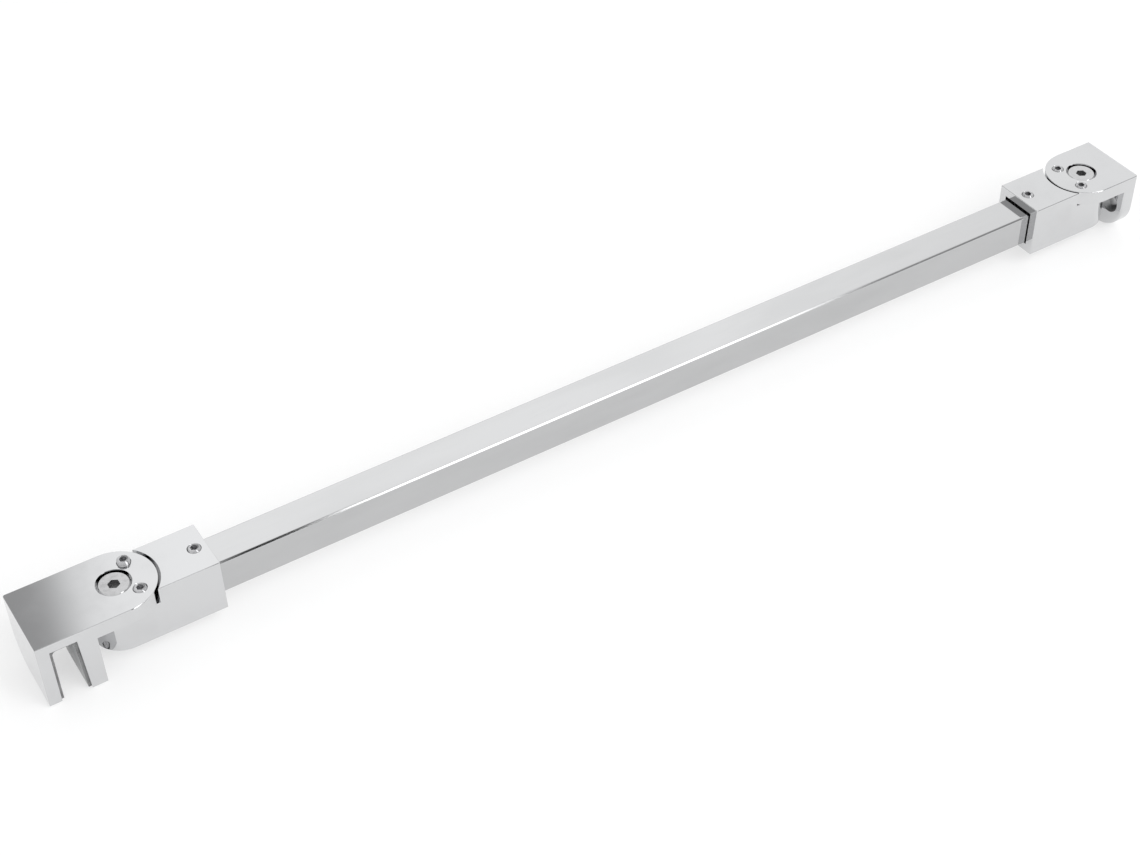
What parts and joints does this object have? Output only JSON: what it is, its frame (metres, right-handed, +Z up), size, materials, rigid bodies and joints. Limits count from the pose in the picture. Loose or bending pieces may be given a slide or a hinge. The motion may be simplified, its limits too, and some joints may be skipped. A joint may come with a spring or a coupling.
{
  "type": "glass-to-wall support bar",
  "caption": "Square support bar with a swivelling glass clamp on one end and a swivelling wall bracket on the other.",
  "frame": {"origin": "centre of the wall bracket's wall face", "axes": "+X along the bar and into the wall, +Z up out of the flat top faces, +Y to the back"},
  "size_m": [0.5107, 0.0314, 0.0312],
  "materials": {
    "head_chrome": "polished",
    "socket_chrome": "polished",
    "bar_steel": "polished along its length",
    "screw_steel": "turned and polished",
    "set_screw_steel": "machined",
    "washer_steel": "rolled",
    "liner_rubber": "soft translucent grey",
    "friction_plastic": "matt nylon"
  },
  "bodies": {
    "wall_bracket": {"wall_bracket": "head_chrome", "wall_head_washer": "washer_steel"},
    "wall_socket": {"wall_socket": "socket_chrome", "wall_pivot_screw": "screw_steel", "wall_pivot_washer": "friction_plastic"},
    "bar": {"bar_tube": "bar_steel"},
    "glass_socket": {"glass_socket": "socket_chrome", "glass_pivot_screw": "screw_steel", "glass_pivot_washer": "friction_plastic"},
    "glass_clamp": {"glass_clamp": "head_chrome", "glass_head_washer": "washer_steel", "glass_liner": "liner_rubber"},
    "wall_lock_screw_front": {"wall_lock_screw_front": "set_screw_steel"},
    "wall_lock_screw_back": {"wall_lock_screw_back": "set_screw_steel"},
    "wall_bar_screw": {"wall_bar_screw": "set_screw_steel"},
    "glass_lock_screw_front": {"glass_lock_screw_front": "set_screw_steel"},
    "glass_lock_screw_back": {"glass_lock_screw_back": "set_screw_steel"},
    "glass_bar_screw": {"glass_bar_screw": "set_screw_steel"},
    "grip_screw_front": {"grip_screw_front": "set_screw_steel"},
    "grip_screw_back": {"grip_screw_back": "set_screw_steel"}
  },
  "joints": [
    {"name": "wall_swivel", "type": "hinge", "parent": "wall_bracket", "child": "wall_socket", "pos_m": [-0.0188, 0, 0], "axis": [0, 0, 1], "range_deg": [-60, 60]},
    {"name": "wall_bar_slide", "type": "slide", "parent": "wall_socket", "child": "bar", "axis": [-1, 0, 0], "range_m": [0, 0.008]},
    {"name": "glass_bar_slide", "type": "slide", "parent": "bar", "child": "glass_socket", "axis": [-1, 0, 0], "range_m": [0, 0.008]},
    {"name": "glass_swivel", "type": "hinge", "parent": "glass_socket", "child": "glass_clamp", "pos_m": [-0.4751, 0, 0], "axis": [0, 0, 1], "range_deg": [-60, 60]},
    {"name": "wall_lock_screw_front_travel", "type": "slide", "parent": "wall_bracket", "child": "wall_lock_screw_front", "axis": [0, 0, 1], "range_m": [-0.001, 0.0025]},
    {"name": "wall_lock_screw_back_travel", "type": "slide", "parent": "wall_bracket", "child": "wall_lock_screw_back", "axis": [0, 0, 1], "range_m": [-0.001, 0.0025]},
    {"name": "wall_bar_screw_travel", "type": "slide", "parent": "wall_socket", "child": "wall_bar_screw", "axis": [0, 0, 1], "range_m": [0, 0.0025]},
    {"name": "glass_lock_screw_front_travel", "type": "slide", "parent": "glass_clamp", "child": "glass_lock_screw_front", "axis": [0, 0, 1], "range_m": [-0.001, 0.0025]},
    {"name": "glass_lock_screw_back_travel", "type": "slide", "parent": "glass_clamp", "child": "glass_lock_screw_back", "axis": [0, 0, 1], "range_m": [-0.0023, 0.0012]},
    {"name": "glass_bar_screw_travel", "type": "slide", "parent": "glass_socket", "child": "glass_bar_screw", "axis": [0, 0, 1], "range_m": [0, 0.0025]},
    {"name": "grip_screw_front_travel", "type": "slide", "parent": "glass_clamp", "child": "grip_screw_front", "axis": [1, 0, 0], "range_m": [0, 0.003]},
    {"name": "grip_screw_back_travel", "type": "slide", "parent": "glass_clamp", "child": "grip_screw_back", "axis": [1, 0, 0], "range_m": [0, 0.003]}
  ]
}
